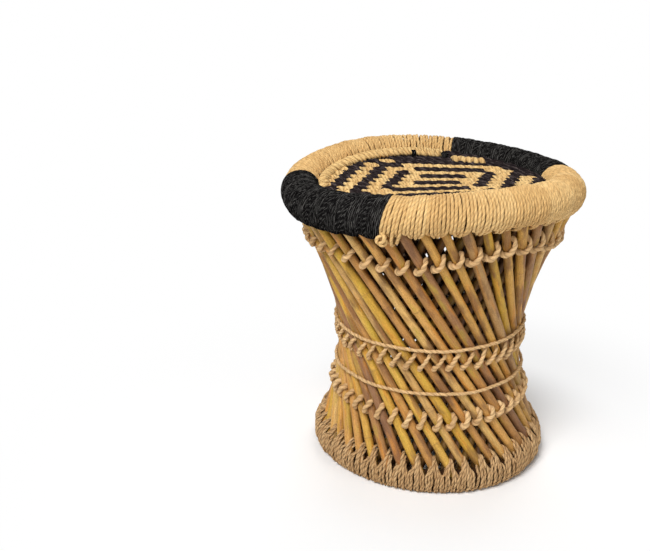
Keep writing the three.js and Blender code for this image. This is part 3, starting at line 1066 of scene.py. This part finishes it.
def edgeRope():
    cords = []
    count = int((edge["to"] - edge["from"]) * seatInside / edge["step"])
    for strand in range(edge["strands"]):
        points = []
        for step in range(count + 1):
            share = step / count
            ends = eased(share, 0, edge["fullFrom"]) * eased(share, 1, edge["fullTo"])
            centre, out, wide = ropeFrame(edge["from"] + (edge["to"] - edge["from"]) * share, ends)
            turn = 2 * pi * (strand / edge["strands"] - step * edge["step"] / edge["lay"])
            turn += edge["unevenTurn"] * wobble(step * 0.05, strand * 3.1)
            spot = centre + out * wide * cos(turn) + upward * edge["high"] * sin(turn)
            points.append(spot + upward * edge["unevenRise"] * mm * wobble(step * 0.12, strand))
        cords.append(cord(points, edge["radius"]))
    return cords


def ropeBands():
    bands = []
    for middle, turns in edge["bands"]:
        for number in range(turns):
            aside = (number - (turns - 1) / 2) * edge["bandPitch"] / seatInside
            centre, out, wide = ropeFrame(middle + aside)
            loop = []
            for step in range(edge["bandSteps"] + 1):
                share = step / edge["bandSteps"]
                turn = edge["bandFrom"] + (edge["bandTo"] - edge["bandFrom"]) * share
                over = edge["radius"] * mm * (edge["bandOver"] if 0 < share < 1 else edge["bandUnder"])
                reach = wide + over
                high = edge["high"] + over
                loop.append(centre + out * reach * cos(turn) + upward * high * sin(turn))
            bands.append(cord(loop, edge["bandRadius"]))
    return bands


# Natural beads of cord beside the rope's end
beads = {
    "count": 5, "from": (35, 94), "to": (68, 89), "length": 17,
    "radius": 4.7, "endRadius": 0.25, "spread": 0.12,  # the last two are shares of the radius
    "rise": 4.8 * mm, "lean": -0.3, "lay": 30 * mm, "halfSteps": 4,
}


def edgeBeads():
    made = []
    for number in range(beads["count"]):
        x, y = Vector(beads["from"]).lerp(Vector(beads["to"]), number / (beads["count"] - 1))
        points = []
        radii = []
        for step in range(2 * beads["halfSteps"] + 1):
            part = step / beads["halfSteps"] - 1
            along = part * beads["length"] / 2
            full = sqrt(max(1 - (part * 0.96) ** 2, 0))
            size = beads["radius"] * (beads["endRadius"] + (1 - beads["endRadius"]) * full)
            lift = beads["rise"] * full
            points.append(seatPoint((x + beads["lean"] * along) * mm, (y + along) * mm, lift))
            radii.append(size * (1 + beads["spread"] * wobble(number * 3.3)))
        made.append(cord(points, radii))
    return made


def longEnough(cords):
    return [one for one in cords if len(one["points"]) > 2]


warpSpacing = seat["column"] / seat["warps"]
warpCount = int(seatReach / warpSpacing)
warps = []
for number in range(-warpCount, warpCount + 1):
    warps.append(warpCord(number * warpSpacing, seat["crown"] if number % seat["warps"] == 0 else 0))
rowCount = int(seatReach / seat["row"])
wefts = [weftCord(row, side) for row in range(-rowCount, rowCount + 1) for side in (-1, 1)]
dressCords(
    "woven_seat_natural", "woven_seat", longEnough(warps), softPly, seat["lay"], seatCord)
dressCords(
    "woven_seat_black", "woven_seat", longEnough(wefts), twoPly, seat["blackLay"], seatBlack)
dressCords("seat_edge_rope", "woven_seat", edgeRope(), twoPly, edge["strandLay"], seatCord)
dressCords("seat_edge_beads", "woven_seat", edgeBeads(), softPly, beads["lay"], seatCord)
dressCords("seat_edge_bands", "woven_seat", ropeBands(), twoPly, edge["bandLay"], blackCord)
print("seat woven")

# Floor, lights and a white surround
studio = {
    "floorSize": 6, "floorColour": (0.9, 0.9, 0.9, 1), "white": (1, 1, 1, 1),
    # the floor turns white to the camera: from and to where, in metres from its middle, and how much
    "fades": [(0.15, 0.3, 0.8), (0.28, 0.55, 0.2)],
    "ambient": 0.12,  # the surround's light where it isn't itself seen
    "aim": (0, 0, 0.2),
    "lamps": {
        # place, size, power
        "key": ((-0.8, -1.35, 1.9), 1.1, 58),
        "fill": ((1.5, -1.3, 0.9), 1.4, 10),
        "back": ((0.3, 1.4, 1.9), 1.4, 22),
    },
}


def floorFinish():
    pale = Finish(bpy.data.materials.new("floor"))
    seen = pale.node("LightPath", output="Is Camera Ray")
    place = pale.node("TexCoord", output="Object")
    away = pale.node("VectorMath", {"operation": "LENGTH"}, {0: place}, output="Value")
    base = pale.node("BsdfDiffuse", None, {"Color": studio["floorColour"]})
    glow = pale.node("Emission", None, {"Color": studio["white"], "Strength": 1.0})
    near, far = [away.ramp(low, high) * share for low, high, share in studio["fades"]]
    mixed = pale.node("MixShader", None, {0: seen * (near + far), 1: base, 2: glow})
    pale.node("OutputMaterial", None, {"Surface": mixed})
    return pale.owner


plane = bmesh.new()
bmesh.ops.create_grid(plane, x_segments=1, y_segments=1, size=studio["floorSize"])
floorMesh = bpy.data.meshes.new("floor")
plane.to_mesh(floorMesh)
plane.free()
finished("floor", floorMesh, floorFinish())

for name, (place, size, power) in studio["lamps"].items():
    light = bpy.data.lights.new(name, "AREA")
    light.energy = power
    light.size = size
    lamp = bpy.data.objects.new(name, light)
    lamp.location = place
    lamp.rotation_euler = (Vector(studio["aim"]) - Vector(place)).to_track_quat("-Z", "Y").to_euler()
    bpy.context.scene.collection.objects.link(lamp)

world = bpy.data.worlds.new("surround")
bpy.context.scene.world = world
sky = Finish(world)
direct, glossy, through = [
    sky.node("LightPath", output=ray)
    for ray in ("Is Camera Ray", "Is Glossy Ray", "Is Transmission Ray")]
shown = direct.most(glossy.most(through))
strength = studio["ambient"] + shown * (1 - studio["ambient"])
background = sky.node("Background", None, {"Color": studio["white"], "Strength": strength})
sky.node("OutputWorld", None, {"Surface": background})
bpy.context.scene.view_settings.view_transform = "Standard"
